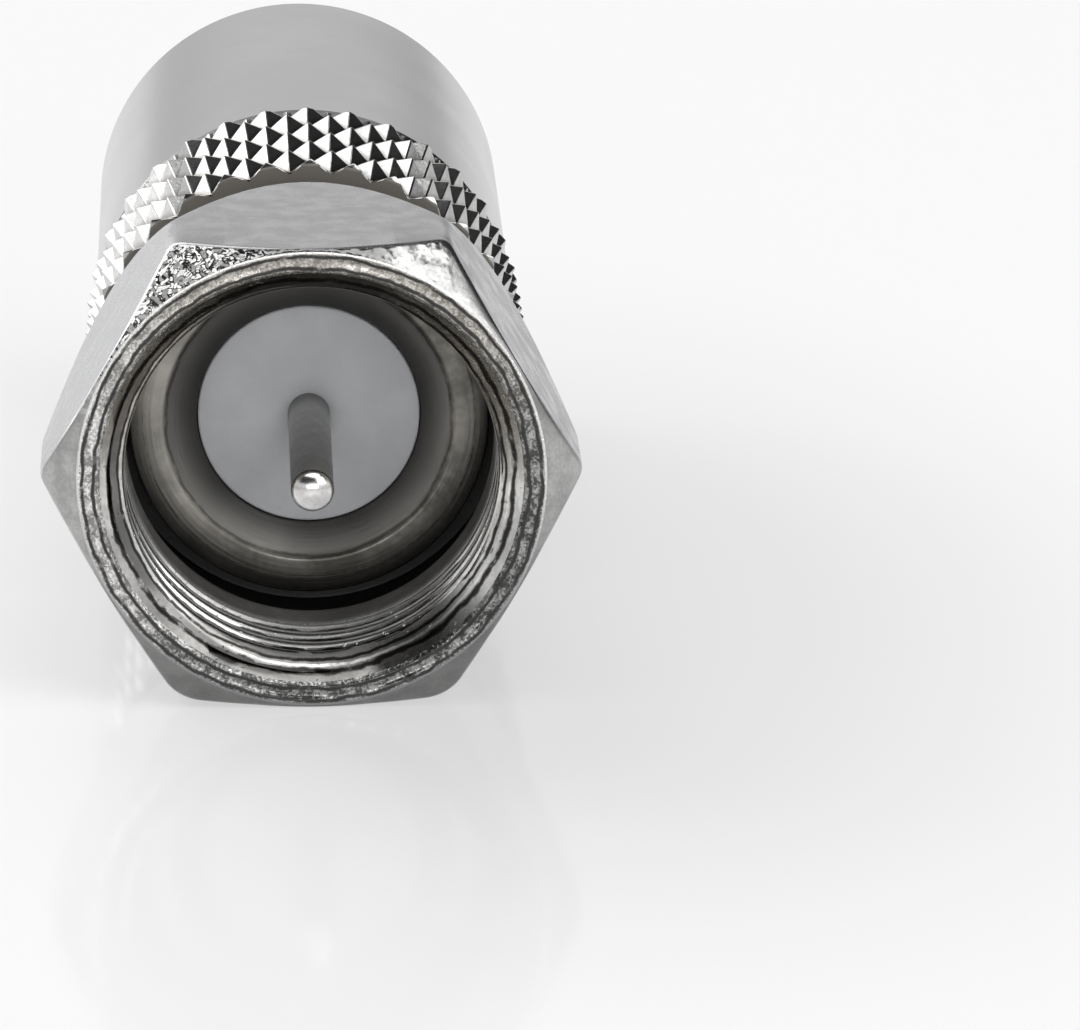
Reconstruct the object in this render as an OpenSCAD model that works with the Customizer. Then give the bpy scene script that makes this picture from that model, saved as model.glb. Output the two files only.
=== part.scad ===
// F plug to coaxial TV socket adapter, lying on one flat of its coupling nut.
// Every piece is turned about one axis: depths run back from the nut's front face.

/* [Coupling nut] */
// Width across the nut's flats
nut_flats = 11.1; // [10.9:0.1:12.5]
// Length of the nut, front face to back face
nut_length = 8.4; // [8:0.1:10]
// Diameter of the nut's flat front face
nut_face_d = 10.96; // [10.6:0.02:11]
// Depth of the front chamfer at the hexagon's corners
nut_chamfer = 0.85; // [0.4:0.05:1.2]
// Depth at which the rear taper has reached the middle of each flat
flat_length = 6.6; // [5.5:0.1:7.5]
// Half-angle of the rear taper, in degrees
taper_angle = 13; // [8:1:20]
// Break of the edge round the nut's back face
nut_back_break = 0.15; // [0.05:0.05:0.3]

/* [Thread bore] */
// Diameter of the countersink at the nut's mouth
mouth_d = 10.1; // [9.8:0.05:10.4]
// Diameter over the thread's crests
thread_minor_d = 8.76; // [8.7:0.02:9]
// Depth at which the threaded stretch ends
thread_depth = 4.15; // [3.5:0.05:4.6]
// Diameter of the relief behind the thread
relief_d = 9.6; // [9.2:0.1:9.9]

/* [Post] */
// Depth of the post's flange face behind the nut's front face
flange_setback = 5.44; // [5:0.02:5.8]
// Diameter of the flange that holds the nut
flange_d = 8.6; // [8.2:0.05:8.65]
// Thickness of the flange
flange_thickness = 1; // [0.8:0.05:1.4]
// Outer diameter of the post's tube
post_d = 7; // [6.6:0.1:7.6]
// Length of tube that is pressed into the body
post_grip = 4; // [3.2:0.1:4.6]
// Diameter of the countersink in the flange
countersink_d = 7.02; // [6.4:0.02:7.4]
// Depth of that countersink
countersink_depth = 0.5; // [0.3:0.05:0.7]
// Diameter of the throat behind the front insulator
post_throat_d = 4.2; // [3.6:0.1:4.8]
// Axial play of the nut between the flange and its own web
nut_play = 0.16; // [0.1:0.02:0.3]
// Radial running clearance between nut and post
swivel_gap = 0.05; // [0.02:0.01:0.1]

/* [Body] */
// Gap between the nut's back face and the body's front face
nut_to_body = 1.1; // [0.4:0.1:1.5]
// Length of the body
body_length = 18.5; // [18:0.5:24]
// Diameter over the plain barrel
barrel_d = 10.4; // [10.2:0.1:11.4]
// Edge break round the barrel's rear rim
rim_break = 0.12; // [0.05:0.01:0.2]
// Diameter of the bore between the post and the rear insulator
body_throat_d = 5.2; // [4.8:0.1:6]
// Clearance behind the post's end
post_end_gap = 0.2; // [0.1:0.05:0.5]

/* [Knurl] */
// Diameter over the knurl's points
knurl_d = 10.9; // [10.7:0.05:11.6]
// Height of the knurl's points over their grooves
knurl_depth = 0.36; // [0.2:0.02:0.45]
// Number of points round the knurl
knurl_count = 32; // [24:1:40]
// Number of rows of points along the axis, the cut rows at both ends among them
knurl_rows = 7; // [5:1:8]
// Distance between two points that stand in line along the axis
knurl_pitch = 1.9; // [1.6:0.02:2.4]
// Turn of the knurl's points against the nut's flats, in degrees
knurl_turn = 1.3; // [0:0.1:5]
// Chamfer at both ends of the knurl
knurl_chamfer = 0.22; // [0.1:0.01:0.3]

/* [Socket end] */
// Bore of the rear shell
shell_bore_d = 9.55; // [9.5:0.01:9.7]
// Depth of the rear shell's bore
shell_depth = 10.8; // [10:0.1:12]
// Thickness of the rear insulator's disc
disc_thickness = 2; // [1.5:0.1:3]
// Length of the rear insulator's hub
hub_length = 1.8; // [1:0.1:2.2]

/* [Contacts] */
// Diameter of the centre pin
pin_d = 1; // [0.8:0.02:1.1]
// Reach of the pin ahead of the nut's front face
pin_reach = 1.2; // [0.8:0.1:2.5]
// Height of the pin's domed tip
pin_dome = 0.34; // [0.2:0.02:0.4]
// Step from the pin's free end down to its neck, which the insulator is moulded round
pin_step = 0.17; // [0.16:0.01:0.2]
// Diameter of the pin's stem behind the front insulator
stem_d = 1.8; // [1.4:0.1:2]
// Length of the front insulator
front_insulator_length = 4.6; // [3.5:0.1:5.5]
// Diameter of the front insulator
front_insulator_d = 5.32; // [5:0.02:5.6]
// Outer diameter of the socket contact
socket_d = 3.8; // [3.4:0.1:4.2]
// Bore of the socket contact
socket_bore_d = 2.4; // [2.36:0.01:2.6]
// Depth of that bore
socket_bore_depth = 7.2; // [6.5:0.1:7.4]
// Distance of the socket contact's end inside the rear rim
socket_setback = 0.8; // [0.3:0.1:1.5]
// Number of slotting cuts across the socket contact
socket_cuts = 2; // [1:1:3]
// Width of each slot
slot_width = 0.35; // [0.2:0.05:0.45]
// Length of each slot
slot_length = 5.6; // [4:0.1:6]
// Diameter of the socket contact's tail in the rear insulator
tail_d = 3; // [2.6:0.1:3.2]
// Depth of the hole in the tail for the pin's stem
tail_hole_depth = 3; // [2:0.1:3.4]

/* [Fits] */
// Radial gap between pieces that are pressed together
press_gap = 0.02; // [0.01:0.01:0.04]

/* [Hidden] */
$fn = 96;
overlap = 0.1;        // how far one cut or blend runs into the next
lead_in = 0.3;        // chamfers that guide one piece into another
nickel = [0.72, 0.71, 0.69];
tin = [0.62, 0.6, 0.56];
polythene = [0.86, 0.87, 0.88];

nut_corner_r = nut_flats / 2 / cos(30);
web_front = flange_setback + flange_thickness + nut_play;
body_front = nut_length + nut_to_body;
body_back = body_front + body_length;
post_end = body_front + post_grip;
insulator_front = flange_setback + countersink_depth;
insulator_back = insulator_front + front_insulator_length;
shell_floor = body_back - shell_depth;
disc_back = shell_floor + disc_thickness;
hub_front = shell_floor - hub_length;
tail_front = hub_front - lead_in;
socket_end = body_back - socket_setback;
knurl_row = knurl_pitch / 2;
knurl_end = body_front + (knurl_rows - 0.5) * knurl_row;
knurl_root_r = knurl_d / 2 - knurl_depth;
knurl_core_r = knurl_root_r * cos(90 / knurl_count) - press_gap;
post_bore_r = post_d / 2 + press_gap;
middle = (body_back - pin_reach) / 2;

// Stands a shape that was drawn along +Z on the part's own lying axis.
module lie_down() {
    translate([0, -middle, nut_flats / 2]) rotate([-90, 0, 0]) children();
}

// A ring or disc turned from a list of [radius, depth] points.
module turned(profile) {
    rotate_extrude() polygon(profile);
}

// The cone of the nut's rear taper at a given radius.
function taper_depth(r) = flat_length - (r - nut_flats / 2) / tan(taper_angle);

// The turned outline that chamfers the nut's hexagon at both ends.
module nut_outline() {
    back_r = nut_flats / 2 - (nut_length - flat_length) * tan(taper_angle);
    wide_r = nut_corner_r + overlap;
    front_slope = nut_chamfer / (nut_corner_r - nut_face_d / 2);
    turned([
        [0, 0],
        [nut_face_d / 2, 0],
        [wide_r, nut_chamfer + overlap * front_slope],
        [wide_r, taper_depth(wide_r)],
        [back_r, nut_length - nut_back_break],
        [back_r - nut_back_break, nut_length],
        [0, nut_length]
    ]);
}

// Everything that is bored out of the nut: mouth, thread core, relief and web.
module nut_bore() {
    web_r = post_d / 2 + swivel_gap;
    thread_r = thread_minor_d / 2;
    turned([
        [0, -overlap],
        [mouth_d / 2 + overlap, -overlap],
        [thread_r, mouth_d / 2 - thread_r],
        [thread_r, thread_depth],
        [relief_d / 2, thread_depth],
        [relief_d / 2, web_front],
        [web_r, web_front],
        [web_r, nut_length + overlap],
        [0, nut_length + overlap]
    ]);
}

module coupling_nut() {
    color(nickel) lie_down() difference() {
        intersection() {
            cylinder(r = nut_corner_r, h = nut_length, $fn = 6);
            nut_outline();
        }
        nut_bore();
    }
}

module post() {
    flange_back = flange_setback + flange_thickness;
    seat_r = front_insulator_d / 2 + press_gap;
    color(tin) lie_down() turned([
        [countersink_d / 2, flange_setback],
        [flange_d / 2, flange_setback],
        [flange_d / 2, flange_back],
        [post_d / 2, flange_back],
        [post_d / 2, post_end - lead_in],
        [post_d / 2 - lead_in / 2, post_end],
        [post_throat_d / 2, post_end],
        [post_throat_d / 2, insulator_back],
        [seat_r, insulator_back],
        [seat_r, insulator_front]
    ]);
}

module front_insulator() {
    hole_r = pin_d / 2 - pin_step + press_gap;
    color(polythene) lie_down() turned([
        [hole_r, insulator_front],
        [front_insulator_d / 2, insulator_front],
        [front_insulator_d / 2, insulator_back],
        [hole_r, insulator_back]
    ]);
}

// Rounded tip, free end, neck in the insulator, and the stem that enters the socket contact.
module centre_pin() {
    tip_r = pin_d / 2;
    neck_r = tip_r - pin_step;
    stem_end = tail_front + tail_hole_depth - lead_in;
    color(nickel) lie_down() turned([
        for (a = [0 : 15 : 90]) [tip_r * sin(a), pin_dome * (1 - cos(a)) - pin_reach],
        [tip_r, insulator_front],
        [neck_r, insulator_front],
        [neck_r, insulator_back],
        [stem_d / 2, insulator_back],
        [stem_d / 2, stem_end - lead_in],
        [stem_d / 2 - lead_in, stem_end],
        [0, stem_end]
    ]);
}

// The knurl's faces: a grid of points and groove crossings, each quad split along its groove.
module knurl_net() {
    columns = 2 * knurl_count;
    lining_r = (post_bore_r + knurl_core_r) / 2;  // hidden in the body's wall
    function grid_r(j, k) = (j + k) % 2 == 0 ? knurl_d / 2 : knurl_root_r;
    function turn(j) = 180 * j / knurl_count + knurl_turn;
    function at(r, j, z) = [r * cos(turn(j)), r * sin(turn(j)), z];
    function place(j, k) = k * columns + j % columns;
    inner = (knurl_rows + 1) * columns;
    top = knurl_rows * columns;
    grid = [for (k = [0 : knurl_rows], j = [0 : columns - 1])
        at(grid_r(j, k), j, body_front + k * knurl_row)];
    lining = [for (k = [0, knurl_rows], j = [0 : columns - 1])
        at(lining_r, j, body_front + k * knurl_row)];
    slopes = [for (k = [0 : knurl_rows - 1], j = [0 : columns - 1]) each
        (j + k) % 2 == 0
            ? [[place(j, k), place(j, k + 1), place(j + 1, k)],
               [place(j + 1, k + 1), place(j + 1, k), place(j, k + 1)]]
            : [[place(j, k), place(j, k + 1), place(j + 1, k + 1)],
               [place(j, k), place(j + 1, k + 1), place(j + 1, k)]]];
    ends = [for (j = [0 : columns - 1]) let (n = (j + 1) % columns) each [
        [j, n, inner + n, inner + j],
        [top + n, top + j, inner + columns + j, inner + columns + n],
        [inner + j, inner + n, inner + columns + n, inner + columns + j]]];
    polyhedron(points = concat(grid, lining), faces = concat(slopes, ends));
}

// Chamfers the knurl at both ends, the rear one down into the barrel.
module knurl_envelope() {
    crest_r = knurl_d / 2 + press_gap;
    turned([
        [0, body_front],
        [crest_r - knurl_chamfer, body_front],
        [crest_r, body_front + knurl_chamfer],
        [crest_r, knurl_end - knurl_chamfer],
        [crest_r - knurl_chamfer - overlap, knurl_end + overlap],
        [0, knurl_end + overlap]
    ]);
}

module body() {
    color(nickel) lie_down() union() {
        intersection() {
            knurl_net();
            knurl_envelope();
        }
        turned([
            [post_bore_r, body_front],
            [knurl_core_r, body_front],
            [knurl_core_r, knurl_end - knurl_chamfer],
            [barrel_d / 2, knurl_end],
            [barrel_d / 2, body_back - rim_break],
            [barrel_d / 2 - rim_break, body_back],
            [shell_bore_d / 2 + rim_break, body_back],
            [shell_bore_d / 2, body_back - rim_break],
            [shell_bore_d / 2, shell_floor],
            [body_throat_d / 2, shell_floor],
            [body_throat_d / 2, post_end + post_end_gap],
            [post_bore_r, post_end + post_end_gap]
        ]);
    }
}

module rear_insulator() {
    disc_r = shell_bore_d / 2 - press_gap;
    hub_r = body_throat_d / 2 - press_gap;
    hole_r = tail_d / 2 + press_gap;
    color(polythene) lie_down() turned([
        [hole_r, hub_front],
        [hub_r, hub_front],
        [hub_r, shell_floor],
        [disc_r, shell_floor],
        [disc_r, disc_back],
        [hole_r, disc_back]
    ]);
}

// A slotted spring tube behind a solid tail that takes the pin's stem.
module socket_contact() {
    bore_floor = socket_end - socket_bore_depth;
    bore_r = socket_bore_d / 2;
    tail_hole_r = stem_d / 2 + press_gap;
    tail_hole_end = tail_front + tail_hole_depth;
    color(tin) lie_down() difference() {
        turned([
            [tail_hole_r, tail_front],
            [tail_d / 2, tail_front],
            [tail_d / 2, disc_back],
            [socket_d / 2, disc_back],
            [socket_d / 2, socket_end - lead_in],
            [socket_d / 2 - lead_in, socket_end],
            [bore_r + lead_in / 2, socket_end],
            [bore_r, socket_end - lead_in],
            [bore_r, bore_floor],
            [0, bore_floor],
            [0, tail_hole_end],
            [tail_hole_r, tail_hole_end]
        ]);
        for (c = [0 : socket_cuts - 1])
            rotate([0, 0, 45 + c * 180 / socket_cuts])
                translate([-socket_d, -slot_width / 2, socket_end - slot_length])
                    cube([2 * socket_d, slot_width, slot_length + overlap]);
    }
}

coupling_nut();
post();
front_insulator();
centre_pin();
body();
rear_insulator();
socket_contact();
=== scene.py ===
import math

import bmesh
import bpy
from mathutils import Matrix, Vector, noise


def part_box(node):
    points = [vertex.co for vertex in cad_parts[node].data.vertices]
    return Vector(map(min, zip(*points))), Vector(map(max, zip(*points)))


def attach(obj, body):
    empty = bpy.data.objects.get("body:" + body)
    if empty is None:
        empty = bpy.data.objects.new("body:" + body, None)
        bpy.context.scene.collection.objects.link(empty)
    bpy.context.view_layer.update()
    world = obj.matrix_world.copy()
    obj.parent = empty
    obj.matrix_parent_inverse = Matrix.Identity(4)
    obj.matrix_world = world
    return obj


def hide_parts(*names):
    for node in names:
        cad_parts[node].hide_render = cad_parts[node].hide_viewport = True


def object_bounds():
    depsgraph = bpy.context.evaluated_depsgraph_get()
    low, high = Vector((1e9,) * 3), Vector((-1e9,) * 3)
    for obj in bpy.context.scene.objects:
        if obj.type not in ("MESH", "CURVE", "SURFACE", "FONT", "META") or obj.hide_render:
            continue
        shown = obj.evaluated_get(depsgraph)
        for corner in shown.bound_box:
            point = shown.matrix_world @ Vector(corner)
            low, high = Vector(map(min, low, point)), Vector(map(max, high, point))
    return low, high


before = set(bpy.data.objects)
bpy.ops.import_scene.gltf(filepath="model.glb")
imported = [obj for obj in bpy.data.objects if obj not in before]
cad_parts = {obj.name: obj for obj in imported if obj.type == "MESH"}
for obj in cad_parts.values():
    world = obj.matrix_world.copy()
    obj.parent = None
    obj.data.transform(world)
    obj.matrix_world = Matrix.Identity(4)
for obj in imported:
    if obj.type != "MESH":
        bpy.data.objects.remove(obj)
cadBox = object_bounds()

mm = 0.001
mergeWithin, mergeLoosely = 1e-5, 1e-4       # millimetres, as are these two:
nearby, touching = 0.1, 0.01                 # how far off a place still counts as there
fullTurn = 2 * math.pi
nutLow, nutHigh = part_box("coupling_nut")
noseY = nutLow.y / mm                        # the nut's front face
nutLength = nutHigh.y / mm - noseY
nutApothem = (nutHigh.z - nutLow.z) / 2 / mm
axisZ = (nutLow.z + nutHigh.z) / 2 / mm      # the part's own axis lies along Y at this height
axisPoint = Vector((0, 0, axisZ))
along = Vector((0, 1, 0))


def spanOf(node):                            # front depth, back depth and radius of a node of the CAD
    low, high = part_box(node)
    return low.y / mm - noseY, high.y / mm - noseY, (high.x - low.x) / 2 / mm


def atTurn(radius, depth, turn=0.0):         # turn is clockwise from the top, seen from the front
    return Vector((radius * math.sin(turn), noseY + depth, axisZ + radius * math.cos(turn)))


def turnOf(point):
    return math.atan2(point.x, point.z - axisZ)


def radiusAt(point):
    return math.hypot(point.x, point.z - axisZ)


def depthAt(point):
    return point.y - noseY


def easeIn(value, start, end):               # 0 before start, 1 after end, smooth between
    share = min(1.0, max(0.0, (value - start) / (end - start)))
    return share * share * (3 - 2 * share)


def everything(bm):
    return bm.verts[:] + bm.edges[:] + bm.faces[:]


def chain(bm, points):                       # a line of edges through the points
    verts = [bm.verts.new(point) for point in points]
    return verts, [bm.edges.new(pair) for pair in zip(verts, verts[1:])]


def lathe(bm, profile, closed=True, steps=144):
    verts, edges = chain(bm, [atTurn(radius, depth) for radius, depth in profile])
    if closed:
        edges.append(bm.edges.new((verts[-1], verts[0])))
    bmesh.ops.spin(bm, geom=verts + edges, cent=axisPoint, axis=along, angle=fullTurn,
                   steps=steps, use_merge=True)
    bmesh.ops.remove_doubles(bm, verts=bm.verts, dist=mergeWithin)
    bmesh.ops.recalc_face_normals(bm, faces=bm.faces)


def repeatRound(bm, count):                  # copies what there is until count of it stand in a ring
    bmesh.ops.spin(bm, geom=everything(bm), cent=axisPoint, axis=along,
                   angle=fullTurn * (count - 1) / count, steps=count - 1, use_duplicate=True)


def cutAway(bm, point, outward):             # removes what lies outward of a plane
    return bmesh.ops.bisect_plane(bm, geom=everything(bm), dist=mergeWithin, clear_outer=True,
                                  plane_co=point, plane_no=outward)["geom_cut"]


def soften(bm, width, segments=2, minAngle=14, where=None):
    edges = [e for e in bm.edges if e.is_manifold
             and abs(e.calc_face_angle(0)) > math.radians(minAngle)
             and (where is None or where((e.verts[0].co + e.verts[1].co) / 2))]
    bmesh.ops.bevel(bm, geom=edges, offset=width, offset_type="OFFSET", segments=segments,
                    profile=0.5, affect="EDGES", material=-1, clamp_overlap=True)


def openLoop(bm, low, high):                 # the open edges between two depths
    return [e for e in bm.edges if e.is_boundary and all(low < depthAt(v.co) < high for v in e.verts)]


def meshFrom(bm, name):
    mesh = bpy.data.meshes.new(name)
    bm.to_mesh(mesh)
    bm.free()
    return mesh


def addMesh(bm, mesh):
    bm.from_mesh(mesh)
    bpy.data.meshes.remove(mesh)


def addObject(name, data):
    thing = bpy.data.objects.new(name, data)
    bpy.context.scene.collection.objects.link(thing)
    return thing


def keepPiece(bm, name, node, body, materials, smoothUnder=40, flatOver=None):
    bmesh.ops.scale(bm, vec=(mm, mm, mm), verts=bm.verts)
    for face in bm.faces:
        face.smooth = True
    mesh = meshFrom(bm, name)
    mesh.set_sharp_from_angle(angle=math.radians(smoothUnder))
    if flatOver:                             # faces of the second material above so many square mm stay flat
        for polygon in mesh.polygons:
            if polygon.material_index == 1 and polygon.area > flatOver * mm * mm:
                for corner in polygon.loop_indices:
                    mesh.edges[mesh.loops[corner].edge_index].use_edge_sharp = True
    for material in materials:
        mesh.materials.append(material)
    piece = addObject(name, mesh)
    weighted = piece.modifiers.new("flatFacesFirst", "WEIGHTED_NORMAL")
    weighted.keep_sharp = True
    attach(piece, body)
    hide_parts(node)
    return piece


# small helpers for the node trees: put() adds one node, and its inputs are sockets or plain values
def fill(tree, node, inputs):
    for label, value in inputs.items():
        if isinstance(value, bpy.types.NodeSocket):
            tree.links.new(value, node.inputs[label])
        else:
            node.inputs[label].default_value = value
    return node


def put(tree, kind, inputs=None, **settings):
    node = tree.nodes.new(kind)
    for label, value in settings.items():
        setattr(node, label, value)
    return fill(tree, node, inputs or {})


def placeGroup(tree, group, **inputs):
    node = tree.nodes.new("ShaderNodeGroup")
    node.node_tree = group
    return fill(tree, node, inputs).outputs


def calc(tree, operation, first, second=0.0):
    return put(tree, "ShaderNodeMath", {0: first, 1: second}, operation=operation).outputs[0]


def times(tree, first, second):
    return calc(tree, "MULTIPLY", first, second)


def most(tree, first, *others):
    for other in others:
        first = calc(tree, "MAXIMUM", first, other)
    return first


def vectorCalc(tree, operation, first, second=(0, 0, 0)):
    return put(tree, "ShaderNodeVectorMath", {0: first, 1: second}, operation=operation).outputs


def axisDistance(tree, place):
    flat = vectorCalc(tree, "MULTIPLY", place, (1, 0, 1))[0]
    return vectorCalc(tree, "LENGTH", flat)["Value"]


def splitPlace(tree, place):
    return put(tree, "ShaderNodeSeparateXYZ", {0: place}).outputs


def noiseAt(tree, place, scale, detail=2.0, roughness=0.5):
    return put(tree, "ShaderNodeTexNoise", {
        "Vector": place, "Scale": scale, "Detail": detail, "Roughness": roughness}).outputs["Fac"]


def ramp(tree, value, low, high, outLow=0.0, outHigh=1.0):
    inputs = {"Value": value, "From Min": low, "From Max": high, "To Min": outLow, "To Max": outHigh}
    return put(tree, "ShaderNodeMapRange", inputs, interpolation_type="SMOOTHSTEP").outputs["Result"]


def blendColor(tree, share, first, second):  # a color is red, green, blue or another node's output
    ends = {socket: color if isinstance(color, bpy.types.NodeSocket) else (*color[:3], 1)
            for socket, color in ((6, first), (7, second))}
    return put(tree, "ShaderNodeMix", {0: share, **ends}, data_type="RGBA").outputs[2]


def startGroup(name, outputs, **inputs):     # every group also takes the place on the surface
    group = bpy.data.node_groups.new(name, "ShaderNodeTree")
    group.interface.new_socket("Place", in_out="INPUT", socket_type="NodeSocketVector")
    for label, value in inputs.items():
        socket = group.interface.new_socket(label, in_out="INPUT", socket_type="NodeSocketFloat")
        socket.default_value = value
    for label in outputs:
        group.interface.new_socket(label, in_out="OUTPUT", socket_type="NodeSocketFloat")
    return group, group.nodes.new("NodeGroupInput").outputs, group.nodes.new("NodeGroupOutput").inputs


def makeLatheMarks():
    # fine rings left by the turning tool, on faces and on cylinders alike
    group, given, made = startGroup("latheMarks", ["Height"], Spacing=0.06, Lean=0.83)
    split = splitPlace(group, given["Place"])
    radius = axisDistance(group, given["Place"])
    drawn = 0.22                             # how soon a ring changes on its way round
    ringAt = calc(group, "SUBTRACT", radius, times(group, split["Y"], given["Lean"]))
    place = put(group, "ShaderNodeCombineXYZ", {
        "X": calc(group, "DIVIDE", ringAt, given["Spacing"]),
        "Y": times(group, split["X"], drawn), "Z": times(group, split["Z"], drawn)}).outputs[0]
    group.links.new(noiseAt(group, place, 1.0, 3.0, 0.6), made["Height"])
    return group


def makeFineGrain():
    # satin grain of plated metal or moulded plastic
    group, given, made = startGroup("fineGrain", ["Height"], Size=0.05, Detail=2.0)
    scale = calc(group, "DIVIDE", 1.0, given["Size"])
    group.links.new(noiseAt(group, given["Place"], scale, given["Detail"]), made["Height"])
    return group


def makeBlotches():
    # uneven plating: soft clouds with a few sharper specks, 0 dark to 1 light
    group, given, made = startGroup("blotches", ["Tone"], Size=0.6, Specks=0.3)
    scale = calc(group, "DIVIDE", 1.0, given["Size"])
    clouds = noiseAt(group, given["Place"], scale, 3.0)
    small = noiseAt(group, given["Place"], times(group, scale, 5.3))
    specks = times(group, calc(group, "SUBTRACT", ramp(group, small, 0.42, 0.62), 0.5), given["Specks"])
    group.links.new(calc(group, "ADD", ramp(group, clouds, 0.3, 0.7), specks), made["Tone"])
    return group


def makeNicks():
    # scattered dents and tool chatter; Coverage 0 none to 1 everywhere
    group, given, made = startGroup("nicks", ["Height", "Mask"], Size=0.15, Coverage=0.3)
    cells = noiseAt(group, given["Place"], calc(group, "DIVIDE", 1.0, given["Size"]), 2.0, 0.55)
    edge = calc(group, "SUBTRACT", 0.72, times(group, given["Coverage"], 0.44))  # noise is 0.28 to 0.72
    mask = ramp(group, calc(group, "SUBTRACT", cells, edge), 0.0, 0.1)
    group.links.new(times(group, mask, -1.0), made["Height"])
    group.links.new(mask, made["Mask"])
    return group


def makeTurnedLine():
    # one dark broken line left at a radius by a tool or a burr
    group, given, made = startGroup("turnedLine", ["Mask"], Radius=5.0, Width=0.05, Broken=0.5)
    radius = axisDistance(group, given["Place"])
    wander = calc(group, "SUBTRACT", noiseAt(group, given["Place"], 1.7, 4.0), 0.5)
    drift = times(group, wander, times(group, given["Width"], 3.0))
    beside = calc(group, "SUBTRACT", calc(group, "ADD", radius, drift), given["Radius"])
    away = calc(group, "ABSOLUTE", beside)
    line = ramp(group, calc(group, "DIVIDE", away, given["Width"]), 0.35, 1.0, 1.0, 0.0)
    lost = calc(group, "ADD", times(group, given["Broken"], 0.4), 0.2)
    patches = noiseAt(group, given["Place"], 1.3, 5.0, 0.72)
    kept = ramp(group, calc(group, "SUBTRACT", patches, lost), 0.0, 0.2)
    group.links.new(times(group, line, kept), made["Mask"])
    return group


latheMarks = makeLatheMarks()
turnedLine = makeTurnedLine()
fineGrain = makeFineGrain()
blotches = makeBlotches()
nicks = makeNicks()


def toneAt(tree, place, size, specks):
    return placeGroup(tree, blotches, Place=place, Size=size, Specks=specks)["Tone"]


def ringsAt(tree, place, spacing, lean=0.83):
    return placeGroup(tree, latheMarks, Place=place, Spacing=spacing, Lean=lean)["Height"]


def grainAt(tree, place, size, detail=2.0):
    return placeGroup(tree, fineGrain, Place=place, Size=size, Detail=detail)["Height"]


def nicksAt(tree, place, size, coverage):
    return placeGroup(tree, nicks, Place=place, Size=size, Coverage=coverage)


def lineAt(tree, place, radius, width, broken):
    return placeGroup(tree, turnedLine, Place=place, Radius=radius, Width=width, Broken=broken)["Mask"]


def plainMaterial(name, inputs):
    material = bpy.data.materials.new(name)
    material.use_nodes = True
    tree = material.node_tree
    return material, tree, fill(tree, tree.nodes["Principled BSDF"], inputs)


def startMaterial(name, **others):
    # also gives the place on the surface in millimetres: across, depth and height above the axis
    material, tree, shader = plainMaterial(name, {"Metallic": 1.0, **others})
    coords = put(tree, "ShaderNodeTexCoord").outputs["Object"]
    place = put(tree, "ShaderNodeMapping", {
        "Vector": coords, "Location": (0, -noseY, -axisZ), "Scale": (1 / mm, 1 / mm, 1 / mm)}).outputs[0]
    return material, tree, shader, place


def coverMetal(tree, shader, dirtAndShade):          # dirt and painted shade on a metal are no metal
    tree.links.new(calc(tree, "SUBTRACT", 1.0, times(tree, dirtAndShade, 0.9)), shader.inputs["Metallic"])


def roughnessOf(tree, tone, dull, bright):   # dull where the tone is dark
    return ramp(tree, tone, 0.0, 1.2, dull, bright)


def finishSurface(tree, shader, color, roughness, heights):
    # heights is a list of (height socket, how tall it is in millimetres)
    tree.links.new(color, shader.inputs["Base Color"])
    tree.links.new(roughness, shader.inputs["Roughness"])
    normal = None
    for height, tall in heights:
        bump = put(tree, "ShaderNodeBump", {"Height": height, "Distance": tall * mm, "Strength": 1.0})
        if normal is not None:
            tree.links.new(normal, bump.inputs["Normal"])
        normal = bump.outputs["Normal"]
    tree.links.new(normal, shader.inputs["Normal"])


def makeNutPlate():
    # bright nickel on the flats, softly mottled, with fine light pits
    material, tree, shader, place = startMaterial("nutPlate")
    tone = toneAt(tree, place, 0.7, 0.12)
    pits = nicksAt(tree, place, 0.08, 0.16)
    clean = blendColor(tree, tone, (0.425, 0.425, 0.435), (0.475, 0.475, 0.485))
    color = blendColor(tree, times(tree, pits["Mask"], 0.4), clean, (0.60, 0.60, 0.60))
    finishSurface(tree, shader, color, roughnessOf(tree, tone, 0.30, 0.22),
                  [(grainAt(tree, place, 0.06), 0.0009), (pits["Height"], 0.002)])
    return material


def makeNutChamfer():
    # smooth below, and torn into coarse cells where the form tool chattered over the upper left corner
    material, tree, shader, place = startMaterial("nutChamfer")
    tone = toneAt(tree, place, 0.5, 0.4)
    at = splitPlace(tree, place)
    left = times(tree, ramp(tree, at["X"], -1.7, -0.5, 1.0, 0.2), ramp(tree, at["X"], 1.4, 2.4, 1.0, 0.0))
    right = times(tree, ramp(tree, at["X"], 1.6, 2.4, 0.0, 0.14), ramp(tree, at["X"], 2.9, 3.5, 1.0, 0.0))
    torn = times(tree, calc(tree, "ADD", left, right), ramp(tree, at["Z"], 1.2, 3.0))
    chatter = times(tree, grainAt(tree, place, 0.26, 1.0), torn)
    clean = blendColor(tree, tone, (0.36, 0.36, 0.355), (0.47, 0.47, 0.46))
    middle = ramp(tree, calc(tree, "ABSOLUTE", at["X"]), 1.4, 2.2, 0.8, 0.0)
    shade = calc(tree, "ADD", ramp(tree, at["Z"], -4.6, -0.5, 0.62, 0.0),
                 times(tree, ramp(tree, at["Z"], 4.6, 5.0), middle))
    shade = most(tree, shade, ramp(tree, at["Z"], -5.7, -5.1, 0.8, 0.0))
    shaded = blendColor(tree, shade, clean, (0.09, 0.09, 0.088))
    color = blendColor(tree, times(tree, torn, 0.5), shaded, (0.56, 0.56, 0.55))
    roughness = calc(tree, "ADD", roughnessOf(tree, tone, 0.25, 0.18), times(tree, torn, -0.06))
    finishSurface(tree, shader, color, roughness,
                  [(chatter, 0.26), (grainAt(tree, place, 0.09), 0.002)])
    return material


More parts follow.
